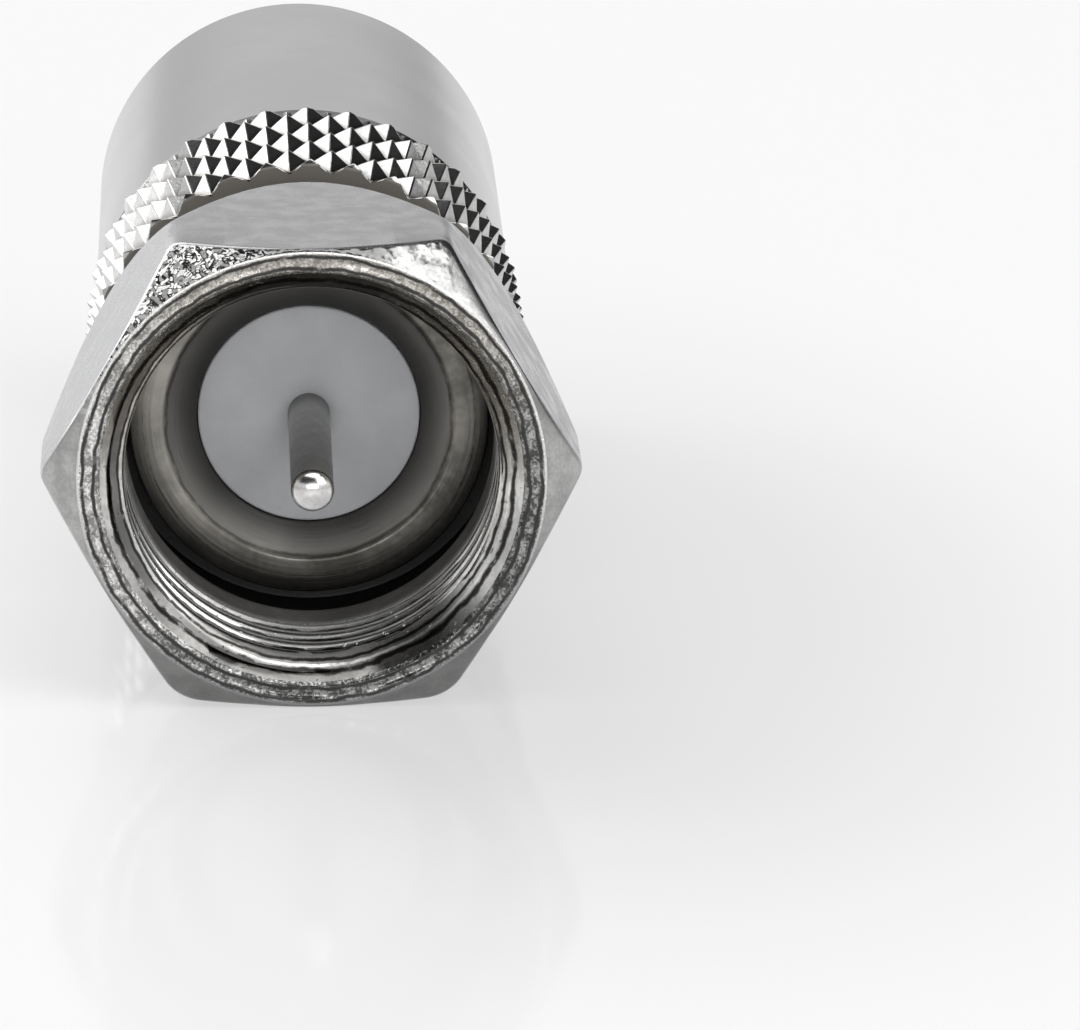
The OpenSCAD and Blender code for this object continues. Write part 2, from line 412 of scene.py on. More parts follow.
def makeNutFace():
    # the narrow ring and its lip: turned, speckled, browned at the top, with a painted highlight round its
    # outer edge and broken lines round the lip
    material, tree, shader, place = startMaterial("nutFace")
    tone = toneAt(tree, place, 0.4, 0.8)
    at = splitPlace(tree, place)
    radius = axisDistance(tree, place)
    clean = blendColor(tree, tone, (0.08, 0.08, 0.078), (0.40, 0.40, 0.395))
    brown = blendColor(tree, tone, (0.34, 0.315, 0.28), (0.66, 0.63, 0.58))
    bright = blendColor(tree, tone, (0.30, 0.295, 0.285), (0.80, 0.79, 0.77))
    metal = blendColor(tree, times(tree, ramp(tree, at["Z"], 0.5, 4.5), 0.7), clean, brown)
    metal = blendColor(tree, ramp(tree, at["X"], -4.8, -2.6, 0.8, 0.0), metal, bright)
    # painted highlight round the ring's outer edge: light at the top, darker towards the bottom
    edge = blendColor(tree, ramp(tree, at["Z"], -5.0, 2.0), (0.30, 0.30, 0.30), (0.82, 0.81, 0.80))
    withPaintedLight = blendColor(tree, ramp(tree, radius, 5.415, 5.455), metal, edge)
    lines = most(tree, lineAt(tree, place, 5.09, 0.065, 0.1), lineAt(tree, place, 5.37, 0.06, 0.15),
                 times(tree, lineAt(tree, place, 5.22, 0.022, 0.75), 0.6))
    color = blendColor(tree, lines, withPaintedLight, (0.02, 0.019, 0.017))
    coverMetal(tree, shader, lines)
    finishSurface(tree, shader, color, roughnessOf(tree, tone, 0.30, 0.20),
                  [(ringsAt(tree, place, 0.05), 0.003), (nicksAt(tree, place, 0.1, 0.4)["Height"], 0.008)])
    return material


def makeThreadMetal():
    # the bore: cut thread, bright on its crests; grime and painted shade darken its flanks, and painted
    # shade makes it dark and dull behind the thread and black in the relief
    material, tree, shader, place = startMaterial("threadMetal")
    tone = toneAt(tree, place, 0.8, 0.4)
    at = splitPlace(tree, place)
    radius = axisDistance(tree, place)
    cone = calc(tree, "ADD", radius, at["Y"])            # the same all down the 45 degree mouth
    # painted shade, partly grime: the flanks and roots between the crests are darkened, less on the left
    flanks = times(tree, ramp(tree, radius, 4.49, 4.55), ramp(tree, cone, 5.06, 5.12))
    flankDarkening = ramp(tree, at["X"], -3.8, -1.6, 0.75, 0.88)
    burrs = most(tree, lineAt(tree, place, 4.75, 0.08, 0.12), lineAt(tree, place, 4.53, 0.05, 0.1))
    # painted shade: the relief deep in the bore is blackened
    relief = ramp(tree, at["Y"], 3.9, 4.4)
    grimeAndShade = most(tree, relief, times(tree, flanks, flankDarkening), times(tree, burrs, 0.95))
    # painted shade: darker behind the thread, deep in the bore
    dull = ramp(tree, at["Y"], 2.7, 3.3, 0.0, 0.9)
    clean = blendColor(tree, tone, (0.66, 0.655, 0.64), (0.86, 0.855, 0.84))
    brown = blendColor(tree, tone, (0.34, 0.30, 0.25), (0.52, 0.47, 0.40))
    aged = blendColor(tree, times(tree, ramp(tree, at["Z"], -1.5, 2.5), 0.8), clean, brown)
    ridge = lineAt(tree, place, 4.64, 0.04, 0.35)
    coneShade = times(tree, ramp(tree, cone, 5.06, 5.12, 1.0, 0.0),
                      ramp(tree, at["Z"], -4.4, -2.0, 0.8, 0.2))
    coneShade = times(tree, coneShade, calc(tree, "SUBTRACT", 1.0, ridge))
    shade = most(tree, coneShade, ramp(tree, at["Z"], 2.9, 4.2, 0.0, 0.75))
    metal = blendColor(tree, shade, aged, (0.09, 0.088, 0.082))
    # painted shade over the metal behind the thread, then grime, painted shade and burrs on top
    withPaintedLight = blendColor(tree, dull, metal, (0.042, 0.040, 0.037))
    color = blendColor(tree, grimeAndShade, withPaintedLight, (0.014, 0.013, 0.012))
    # where the painted shade lies deep in the bore, the surface is also no metal and rougher
    deepShade = most(tree, relief, times(tree, dull, 0.9))
    coverMetal(tree, shader, deepShade)
    roughness = calc(tree, "ADD", roughnessOf(tree, tone, 0.20, 0.12), times(tree, deepShade, 0.25))
    finishSurface(tree, shader, color, roughness,
                  [(ringsAt(tree, place, 0.09, 1.3), 0.0007),
                   (nicksAt(tree, place, 0.13, 0.14)["Height"], 0.008)])
    return material


def makePostMetal():
    # dull and slightly brown, with plain turning rings; painted light on the left of its face, painted shade
    # at its bottom and right, and painted shade down its countersink towards the insulator
    material, tree, shader, place = startMaterial("postMetal")
    tone = toneAt(tree, place, 1.2, 0.25)
    at = splitPlace(tree, place)
    face = blendColor(tree, tone, (0.12, 0.115, 0.102), (0.28, 0.268, 0.245))
    # painted light: the face lighter towards the left
    face = blendColor(tree, ramp(tree, at["X"], -3.2, -1.0, 0.55, 0.0), face, (0.34, 0.325, 0.30))
    shade = most(tree, ramp(tree, at["Z"], -3.4, -1.5, 0.45, 0.0), ramp(tree, at["X"], 1.5, 3.2, 0.0, 0.3))
    face = blendColor(tree, shade, face, (0.05, 0.048, 0.043))
    # painted shade: the countersink darker towards the insulator
    cone = blendColor(tree, ramp(tree, at["Y"], 5.5, 5.94, 1.0, 0.35),
                      (0.09, 0.088, 0.085), (0.30, 0.295, 0.28))
    sunk = ramp(tree, at["Y"], 5.46, 5.58)
    lines = most(tree, lineAt(tree, place, 3.42, 0.05, 0.3), lineAt(tree, place, 3.98, 0.03, 0.5))
    both = blendColor(tree, sunk, face, cone)
    color = blendColor(tree, times(tree, lines, 0.55), both, (0.03, 0.028, 0.025))
    roughness = calc(tree, "ADD", roughnessOf(tree, tone, 0.36, 0.28), times(tree, sunk, 0.12))
    finishSurface(tree, shader, color, roughness, [(ringsAt(tree, place, 0.10, 0.5), 0.005)])
    return material


def makeBarrelPlate():
    # even satin nickel with the faintest rings; browned on the body's hidden front
    material, tree, shader, place = startMaterial("barrelPlate")
    tone = toneAt(tree, place, 3.2, 0.08)
    browned = ramp(tree, splitPlace(tree, place)["Y"], 9.55, 9.62, 0.85, 0.0)
    clean = blendColor(tree, tone, (0.455, 0.455, 0.457), (0.485, 0.485, 0.487))
    color = blendColor(tree, browned, clean, (0.13, 0.115, 0.093))
    coverMetal(tree, shader, browned)
    roughness = calc(tree, "ADD", roughnessOf(tree, tone, 0.20, 0.18), times(tree, browned, 0.3))
    finishSurface(tree, shader, color, roughness, [(ringsAt(tree, place, 0.12), 0.0001)])
    return material


def makeKnurlPlate():
    # bright points, darker down in the grooves with dirt and painted shade
    material, tree, shader, place = startMaterial("knurlPlate")
    tone = toneAt(tree, place, 0.5, 0.5)
    # darker towards the roots of the grooves: partly dirt, partly painted shade
    dirtAndShade = ramp(tree, axisDistance(tree, place), 5.10, 5.22, 0.7, 0.0)
    clean = blendColor(tree, tone, (0.47, 0.467, 0.46), (0.60, 0.597, 0.59))
    color = blendColor(tree, dirtAndShade, clean, (0.12, 0.11, 0.095))
    finishSurface(tree, shader, color, roughnessOf(tree, tone, 0.19, 0.13),
                  [(grainAt(tree, place, 0.14), 0.002)])
    return material


def makePinMetal():
    # bright tip, dull grey shaft behind it, and painted shade at the root where it enters the insulator
    material, tree, shader, place = startMaterial("pinMetal")
    tone = toneAt(tree, place, 0.4, 0.4)
    depth = splitPlace(tree, place)["Y"]
    shaft = ramp(tree, depth, -0.92, -0.7)
    bright = blendColor(tree, tone, (0.62, 0.61, 0.60), (0.76, 0.75, 0.74))
    dull = blendColor(tree, tone, (0.44, 0.438, 0.434), (0.53, 0.527, 0.52))
    # painted shade darkens the shaft towards the insulator
    color = blendColor(tree, ramp(tree, depth, 4.6, 5.9, 0.0, 0.6), blendColor(tree, shaft, bright, dull),
                       (0.06, 0.06, 0.058))
    finishSurface(tree, shader, color, ramp(tree, shaft, 0.0, 1.0, 0.2, 0.42),
                  [(grainAt(tree, place, 0.12), 0.002)])
    return material


def makeContactMetal():
    # tinned bronze, a little warm, turned
    material, tree, shader, place = startMaterial("contactMetal")
    tone = toneAt(tree, place, 0.7, 0.3)
    color = blendColor(tree, tone, (0.46, 0.44, 0.40), (0.60, 0.58, 0.53))
    finishSurface(tree, shader, color, roughnessOf(tree, tone, 0.34, 0.26),
                  [(ringsAt(tree, place, 0.06), 0.004)])
    return material


def makePolythene():
    # milky plastic with a few dirt specks
    material, tree, shader, place = startMaterial("milkyPolythene", **{
        "Metallic": 0.0, "IOR": 1.5, "Subsurface Weight": 0.25, "Subsurface Scale": 0.0004,
        "Subsurface Radius": (1.0, 0.95, 0.9)})
    tone = toneAt(tree, place, 1.1, 0.15)
    specks = nicksAt(tree, place, 0.22, 0.06)["Mask"]
    clean = blendColor(tree, tone, (0.73, 0.74, 0.76), (0.79, 0.80, 0.825))
    color = blendColor(tree, times(tree, specks, 0.35), clean, (0.42, 0.40, 0.38))
    finishSurface(tree, shader, color, roughnessOf(tree, tone, 0.52, 0.44),
                  [(grainAt(tree, place, 0.12), 0.003)])
    return material


nutPlate, nutChamfer, nutFace = makeNutPlate(), makeNutChamfer(), makeNutFace()
threadMetal, postMetal, pinMetal = makeThreadMetal(), makePostMetal(), makePinMetal()
barrelPlate, knurlPlate, contactMetal = makeBarrelPlate(), makeKnurlPlate(), makeContactMetal()
milkyPolythene = makePolythene()
print("materials")


nutSizes = {
    "faceDiameter": 10.96,    # flat ring round the mouth
    "chamferDepth": 0.85,     # at the corners
    "chamferLean": 0.62,      # faces that look forward more than this are the chamfer's
    "flatLength": 6.6,        # where the rear taper meets the middle of a flat
    "taperAngle": 13.0,
    "backBreak": 0.15,
    "cornerRound": 0.42,      # radius of the hexagon's long edges
    "lowerRound": 0.95,       # the two it rests on are more worn
    "edgeRound": 0.14,        # how far the chamfer's outer edge is rounded, where there is room
    "smallRound": 0.05,
    "mouthDiameter": 10.1,
    "grooveDiameter": 10.50,  # worn groove in the ring, deepest here
    "grooveRim": 10.68,
    "grooveDepth": 0.075,
    "grooveDrift": ((0.045, 4.1), (0.02, 17.3)),     # how far it wanders, and how often
    "grooveShare": (0.75, 1.1, 3.3),                 # of its depth: on average, give or take, how often
    "grooveLeast": 0.15,
    "lipDepth": 0.1,
    "threadPitch": 25.4 / 32,
    "threadStart": -1.3,      # the sweep starts before the face, and is trimmed behind the lip
    "threadTurns": 8,
    "threadSteps": 180,       # a turn
    "threadTrim": (0.03, 0.02),                      # behind the lip, and before the end of the land
    "crestDiameter": 8.76,
    "rootDiameter": 9.53,
    "flankAngle": 30,
    "crestFlat": 0.04,
    "crestRound": 0.20,
    "rootRound": (0.06, 0.035, 0.02),                # below the root, and before and beyond its corner
    "threadEnd": 3.15,        # depth at which the grooves have run out
    "runOut": 0.35,           # how far they take to run out
    "landEnd": 4.15,
    "landStep": 0.06,         # its broken edge
    "reliefDiameter": 9.6,
    "webFront": 6.6,
    "webDiameter": 7.1,
    "columns": 360,
}


def hexRadius(turn):                         # of the hexagon with its worn corners
    sector = math.pi / 3
    isLower = math.floor(turn / sector) % 6 in (2, 3)
    rounding = nutSizes["lowerRound"] if isLower else nutSizes["cornerRound"]
    fold = abs((turn + sector / 2) % sector - sector / 2)      # 0 at the middle of a flat
    if math.tan(fold) < (1 - rounding / nutApothem) * math.tan(sector / 2):
        return nutApothem / math.cos(fold)
    centre, away = (nutApothem - rounding) / math.cos(sector / 2), sector / 2 - fold
    return centre * math.cos(away) + math.sqrt(rounding ** 2 - (centre * math.sin(away)) ** 2)


def roundCorners(points, widths, steps=3, sideShare=0.45):
    # widths are how far each inner corner is set back
    points = [Vector(point) for point in points]
    path = [points[0]]
    for before, corner, after, width in zip(points, points[1:], points[2:], widths):
        back, ahead = before - corner, after - corner
        reach = min(width, sideShare * back.length, sideShare * ahead.length)
        start, end = corner + back.normalized() * reach, corner + ahead.normalized() * reach
        for share in (s / steps for s in range(steps + 1)):
            path.append(start * (1 - share) ** 2 + corner * 2 * share * (1 - share) + end * share ** 2)
    return path + [points[-1]]


def nutOutline(turn):
    # from the lip over the face, chamfer, flat and rear taper, and back inside to where the thread ends
    sizes = nutSizes
    mouth, face, lip = sizes["mouthDiameter"] / 2, sizes["faceDiameter"] / 2, sizes["lipDepth"]
    apothem, length, radius = nutApothem, nutLength, hexRadius(turn)
    slope = sizes["chamferDepth"] / (apothem / math.cos(math.pi / 6) - face)
    spread = math.tan(math.radians(sizes["taperAngle"]))
    back, rim = apothem - (length - sizes["flatLength"]) * spread, sizes["backBreak"]
    web, relief = sizes["webDiameter"] / 2, sizes["reliefDiameter"] / 2
    around = Vector((math.sin(turn), math.cos(turn), 0))
    drift = sum(far * noise.noise(around * often) for far, often in sizes["grooveDrift"])
    average, swing, often = sizes["grooveShare"]
    share = average + swing * noise.noise(around * often + along)
    sunk = sizes["grooveDepth"] * min(1.0, max(sizes["grooveLeast"], share))
    small, wide = sizes["smallRound"], sizes["edgeRound"]
    return roundCorners(
        [(mouth - lip, lip), (mouth, 0), (sizes["grooveDiameter"] / 2 + drift, sunk),
         (sizes["grooveRim"] / 2 + drift, 0), (face, 0), (radius, (radius - face) * slope),
         (radius, sizes["flatLength"] - (radius - apothem) / spread), (back, length - rim),
         (back - rim, length), (web, length), (web, sizes["webFront"]),
         (relief, sizes["webFront"]), (relief, sizes["landEnd"]),
         (sizes["crestDiameter"] / 2 + sizes["landStep"], sizes["landEnd"])],
        [small] * 4 + [wide] * 2 + [small] * 6)


def growLoop(bm, edges, place):              # place gives a radius and depth for each turn
    grown = bmesh.ops.extrude_edge_only(bm, edges=edges)["geom"]
    for vert in (g for g in grown if isinstance(g, bmesh.types.BMVert)):
        turn = turnOf(vert.co)
        radius, depth = place(turn)
        vert.co = atTurn(radius, depth, turn)
    return [g for g in grown if isinstance(g, bmesh.types.BMEdge) and g.is_boundary]


def nutOutside(bm, sizes):
    columns = sizes["columns"]
    outlines = [nutOutline(fullTurn * column / columns) for column in range(columns)]
    radius, depth = outlines[0][0]
    lip = bmesh.ops.create_circle(bm, segments=columns, radius=radius,
                                  matrix=Matrix.Rotation(math.pi / 2, 4, "X"))["verts"]
    bmesh.ops.translate(bm, vec=atTurn(0, depth), verts=lip)
    edges = list(bm.edges)
    for step in range(1, len(outlines[0])):
        edges = growLoop(bm, edges, lambda turn: outlines[round(turn / fullTurn * columns) % columns][step])


def nutThread(bm, sizes):
    # one pitch of the rounded crest and its flanks, swept along a right-handed helix
    pitch, crest, root = sizes["threadPitch"], sizes["crestDiameter"] / 2, sizes["rootDiameter"] / 2
    rounding, half, lean = sizes["crestRound"], sizes["crestFlat"] / 2, sizes["flankAngle"]
    bend = [math.radians(a) for a in range(0, 91 - lean, 15)]
    side = [(crest + rounding * (1 - math.cos(a)), half + rounding * math.sin(a)) for a in bend]
    foot = side[-1][1] + (root - side[-1][0]) * math.tan(math.radians(lean))
    up, before, beyond = sizes["rootRound"]
    side += [(root - up, foot - before), (root, foot + beyond)]
    profile = [(root, -pitch / 2)] + [(r, -z) for r, z in reversed(side)] + side + [(root, pitch / 2)]
    verts, edges = chain(bm, [atTurn(r, sizes["threadStart"] + z) for r, z in profile])
    turns = sizes["threadTurns"]
    steps = sizes["threadSteps"] * turns
    bmesh.ops.spin(bm, geom=verts + edges, cent=axisPoint, axis=along, angle=fullTurn * turns,
                   dvec=(0, pitch * turns / steps, 0), steps=steps)
    bmesh.ops.remove_doubles(bm, verts=bm.verts, dist=mergeLoosely)
    behindLip, beforeEnd = sizes["threadTrim"]
    cutAway(bm, (0, noseY + sizes["lipDepth"] + behindLip, 0), -along)
    cutAway(bm, (0, noseY + sizes["landEnd"] - beforeEnd, 0), along)
    mouth = sizes["mouthDiameter"] / 2
    for vert in bm.verts:
        depth, radius = depthAt(vert.co), radiusAt(vert.co)
        radius += (crest - radius) * easeIn(depth, sizes["threadEnd"] - sizes["runOut"], sizes["threadEnd"])
        vert.co = atTurn(max(radius, mouth - depth), depth, turnOf(vert.co))


def nutMaterial(face, sizes):                # the number of the face's material in the list below
    outside, chamfer, ring, bore = range(4)
    middle = face.calc_center_median()
    depth, radius = depthAt(middle), radiusAt(middle)
    isInside = radius < sizes["mouthDiameter"] / 2 + nearby
    if isInside and sizes["lipDepth"] < depth < sizes["webFront"] + nearby:
        return bore
    if radius < sizes["faceDiameter"] / 2 + touching and depth < sizes["lipDepth"]:
        return ring
    isForward = face.normal.y < -sizes["chamferLean"]
    return chamfer if isForward and depth < sizes["chamferDepth"] + nearby else outside


def makeNut():
    sizes = nutSizes
    thread = bmesh.new()
    nutThread(thread, sizes)
    threadMesh = meshFrom(thread, "threadStart")
    bm = bmesh.new()
    nutOutside(bm, sizes)
    addMesh(bm, threadMesh)
    for depth in (sizes["lipDepth"], sizes["landEnd"]):
        bmesh.ops.bridge_loops(bm, edges=openLoop(bm, depth - nearby, depth + nearby))
    bmesh.ops.recalc_face_normals(bm, faces=bm.faces)
    for face in bm.faces:
        face.material_index = nutMaterial(face, sizes)
    return keepPiece(bm, "couplingNut", "coupling_nut", "nut",
                     [nutPlate, nutChamfer, nutFace, threadMetal])


print("nut", len(makeNut().data.polygons), "faces")


postSizes = {
    "flangeThickness": 1.0,
    "tubeDiameter": 7.0,
    "tubeTaper": (0.15, 0.3), # inwards and along, at its end in the body
    "countersinkDiameter": 7.02,
    "countersinkDepth": 0.5,
    "seatDiameter": 5.36,
    "seatLength": 4.6,
    "throatDiameter": 4.2,
    "rimRound": 0.04,
}


def makePost():
    sizes = postSizes
    front, end, flange = spanOf("post")
    tube, seat, throat = sizes["tubeDiameter"] / 2, sizes["seatDiameter"] / 2, sizes["throatDiameter"] / 2
    shoulder = front + sizes["flangeThickness"]
    inwards, before = sizes["tubeTaper"]
    seatFront = front + sizes["countersinkDepth"]
    seatEnd = seatFront + sizes["seatLength"]
    bm = bmesh.new()
    lathe(bm, [(sizes["countersinkDiameter"] / 2, front), (flange, front), (flange, shoulder),
               (tube, shoulder), (tube, end - before), (tube - inwards, end), (throat, end),
               (throat, seatEnd), (seat, seatEnd), (seat, seatFront)])
    soften(bm, sizes["rimRound"], segments=3)
    return keepPiece(bm, "flangedPost", "post", "adapter", [postMetal])


insulatorSizes = {
    "holeDiameter": 0.98,     # closes on the pin
    "holeLength": 0.3,
    "holeLead": 0.1,
    "neckDiameter": 0.7,
    "rimRound": 0.06,
    "collarRise": 0.05,       # the plastic creeps up round the pin
    "collarWaist": (0.12, 0.01),
    "collarFoot": 0.4,
}


def makeFrontInsulator():
    sizes = insulatorSizes
    front, back, outer = spanOf("front_insulator")
    hole, neck = sizes["holeDiameter"] / 2, sizes["neckDiameter"] / 2
    aside, rise = sizes["collarWaist"]
    holeEnd = front + sizes["holeLength"]
    bm = bmesh.new()
    lathe(bm, [(hole, front + sizes["collarRise"]), (hole + aside, front + rise),
               (hole + sizes["collarFoot"], front), (outer, front), (outer, back), (neck, back),
               (neck, holeEnd + sizes["holeLead"]), (hole, holeEnd)])
    soften(bm, sizes["rimRound"], segments=3, where=lambda p: radiusAt(p) > outer - nearby)
    return keepPiece(bm, "frontInsulator", "front_insulator", "adapter",
                     [milkyPolythene])


pinSizes = {
    "diameter": 1.0,
    "domeHeight": 0.34,
    "neckDiameter": 0.66,
    "necking": (0.28, 0.4),   # where the neck starts behind the insulator's front, and is down to size
    "stemDiameter": 1.8,
    "stemBreak": 0.3,
    "insulatorLength": 4.6,   # the stem's front end bears on its back
}


def makePin():
    sizes = pinSizes
    tip, end = spanOf("centre_pin")[:2]
    radius, stem, neck = sizes["diameter"] / 2, sizes["stemDiameter"] / 2, sizes["neckDiameter"] / 2
    front = spanOf("front_insulator")[0]
    back = front + sizes["insulatorLength"]
    neckStart, neckFull = (front + depth for depth in sizes["necking"])
    rim = sizes["stemBreak"]
    arc = [math.radians(a) for a in range(0, 91, 6)]
    dome = [(radius * math.sin(a), tip + sizes["domeHeight"] * (1 - math.cos(a))) for a in arc]
    bm = bmesh.new()
    lathe(bm, dome + [(radius, front), (radius, neckStart), (neck, neckFull), (neck, back),
                      (stem, back), (stem, end - rim), (stem - rim, end), (0, end)], closed=False, steps=72)
    return keepPiece(bm, "centrePin", "centre_pin", "adapter", [pinMetal])


makePost()
makeFrontInsulator()
makePin()
print("post, insulator and pin")


bodySizes = {
    "knurlDiameter": 10.9,
    "knurlDepth": 0.36,
    "knurlCount": 32,
    "knurlRows": 7,
    "knurlPitch": 1.9,
    "knurlTurn": 1.3,         # degrees
    "frontCut": (0.18, 3.0),  # how far the points are cut down at each end, and how steeply
    "backCut": (0.33, 0.5),
    "frontLean": 0.97,        # faces at the front that look forward more than this are plain
    "pointRound": 0.06,
    "ringBack": (0.12, 0.04), # below the roots and behind the last row, where the net is closed
    "ringBore": 7.24,
    "coreGap": (0.06, 0.1),   # the turned core starts behind the ring's front, and below its roots
    "coreTaper": 0.5,
    "barrelDiameter": 10.4,
    "rimBreak": 0.12,
    "innerRound": 0.04,
    "shellBore": 9.55,
    "shellDepth": 10.8,
    "throatDiameter": 5.2,
    "postBore": 7.04,
    "postGrip": 4.2,
}


def knurlRing(bm, sizes, front, end):
    crest = sizes["knurlDiameter"] / 2
    root = crest - sizes["knurlDepth"]
    row, rows, count = sizes["knurlPitch"] / 2, sizes["knurlRows"], sizes["knurlCount"]
    step = math.pi / count
    start = math.radians(sizes["knurlTurn"])

    # one column of points, two steps wide, bent round the axis
    bmesh.ops.create_grid(bm, x_segments=2, y_segments=rows, size=1.0)
    roots = []
    for vert in bm.verts:
        column, line = round(vert.co.x), round((vert.co.y + 1) / 2 * rows)
        isPoint = (column + line) % 2 == 0
        vert.co = atTurn(crest if isPoint else root, front + line * row, start + column * step)
        if not isPoint:
            roots.append(vert)
    for face in list(bm.faces):
        bmesh.ops.connect_verts(bm, verts=[v for v in face.verts if v in roots])

    # the points are cut down at both ends, steeply at the front; a small facet closes each front cut
    outward = Vector((math.sin(start), 0, math.cos(start)))
    down, slope = sizes["frontCut"]
    cut = cutAway(bm, atTurn(crest - down, front, start), outward - slope * along)
    bmesh.ops.contextual_create(bm, geom=[g for g in cut if isinstance(g, bmesh.types.BMEdge)])
    down, slope = sizes["backCut"]
    cutAway(bm, atTurn(crest - down, end, start), outward + slope * along)
    below, behind = sizes["ringBack"]
    cutAway(bm, (0, noseY + end + behind / 2, 0), along)
    repeatRound(bm, count)
    bmesh.ops.remove_doubles(bm, verts=bm.verts, dist=mergeLoosely)

    # close the ring on its hidden inside
    inner = sizes["ringBore"] / 2
    frontLoop = openLoop(bm, -math.inf, front + row)
    backLoop = openLoop(bm, end - row, math.inf)
    frontLoop = growLoop(bm, frontLoop, lambda turn: (inner, front))
    backLoop = growLoop(bm, backLoop, lambda turn: (root - below, end + behind))
    backLoop = growLoop(bm, backLoop, lambda turn: (inner, end + behind))
    bmesh.ops.bridge_loops(bm, edges=frontLoop + backLoop)
    bmesh.ops.recalc_face_normals(bm, faces=bm.faces)
    soften(bm, sizes["pointRound"], segments=2, minAngle=15,
           where=lambda p: radiusAt(p) > root - below / 2)


def makeBody():
    sizes = bodySizes
    front, back = spanOf("body")[:2]
    knurlEnd = front + (sizes["knurlRows"] - 0.5) * sizes["knurlPitch"] / 2
    barrel, bore = sizes["barrelDiameter"] / 2, sizes["shellBore"] / 2
    throat, grip, postBore = sizes["throatDiameter"] / 2, front + sizes["postGrip"], sizes["postBore"] / 2
    coreFront = front + sizes["coreGap"][0]
    core = sizes["knurlDiameter"] / 2 - sizes["knurlDepth"] - sizes["coreGap"][1]
    floor = back - sizes["shellDepth"]
    bm = bmesh.new()
    knurlRing(bm, sizes, front, knurlEnd)
    knurlMesh = meshFrom(bm, "knurlStart")
    bm = bmesh.new()
    lathe(bm, [(postBore, coreFront), (core, coreFront), (core, knurlEnd - sizes["coreTaper"]),
               (barrel, knurlEnd), (barrel, back), (bore, back), (bore, floor), (throat, floor),
               (throat, grip), (postBore, grip)], steps=192)
    soften(bm, sizes["rimBreak"], segments=4, where=lambda p: depthAt(p) > back - touching)
    soften(bm, sizes["innerRound"], segments=2, minAngle=30,
           where=lambda p: depthAt(p) < back - sizes["shellDepth"] / 2)
    barrelFaces = len(bm.faces)
    addMesh(bm, knurlMesh)
    bm.faces.ensure_lookup_table()
    plain, knurled = range(2)                # in the order of the list below
    for face in bm.faces[barrelFaces:]:      # the ring's front face is plain, and the rest of it knurled
        isForward = face.normal.y < -sizes["frontLean"]
        isFront = isForward and depthAt(face.calc_center_median()) < front + touching
        face.material_index = plain if isFront else knurled
    return keepPiece(bm, "adapterBody", "body", "adapter", [barrelPlate, knurlPlate],
                     smoothUnder=24, flatOver=0.05)


rearSizes = {
    "hubDiameter": 5.16,
    "hubLength": 1.8,
    "holeDiameter": 3.04,
    "edgeRound": 0.08,
    "moatDiameter": 7.4,      # shallow moulded ring round the contact
    "moatDepth": 0.25,
    "moatInner": 4.94,
    "moatLean": 0.1,
}


def makeRearInsulator():
    sizes = rearSizes
    front, back, outer = spanOf("rear_insulator")
    hub, hole, shoulder = sizes["hubDiameter"] / 2, sizes["holeDiameter"] / 2, front + sizes["hubLength"]
    moat, inner, lean = sizes["moatDiameter"] / 2, sizes["moatInner"] / 2, sizes["moatLean"]
    sunk = back - sizes["moatDepth"]
    bm = bmesh.new()
    lathe(bm, [(hole, front), (hub, front), (hub, shoulder), (outer, shoulder), (outer, back), (moat, back),
               (moat - lean, sunk), (inner, sunk), (inner - lean, back), (hole, back)])
    soften(bm, sizes["edgeRound"], segments=3)
    return keepPiece(bm, "rearInsulator", "rear_insulator", "adapter",
                     [milkyPolythene])


contactSizes = {
    "boreDiameter": 2.4,
    "boreDepth": 7.2,
    "fingers": 4,
    "firstSlot": 45,          # degrees
    "slotWidth": 0.35,
    "slotLength": 5.6,
    "rootReach": 0.02,        # how far the solid part reaches under the fingers
    "tipBreak": (0.15, 0.3),  # the fingers' tips, inside and outside
    "tailDiameter": 3.0,
    "tailHole": 1.84,
    "tailHoleDepth": 3.0,
    "pinchIn": 0.09,          # the fingers are set inwards at their tips
    "edgeRound": 0.05,
}


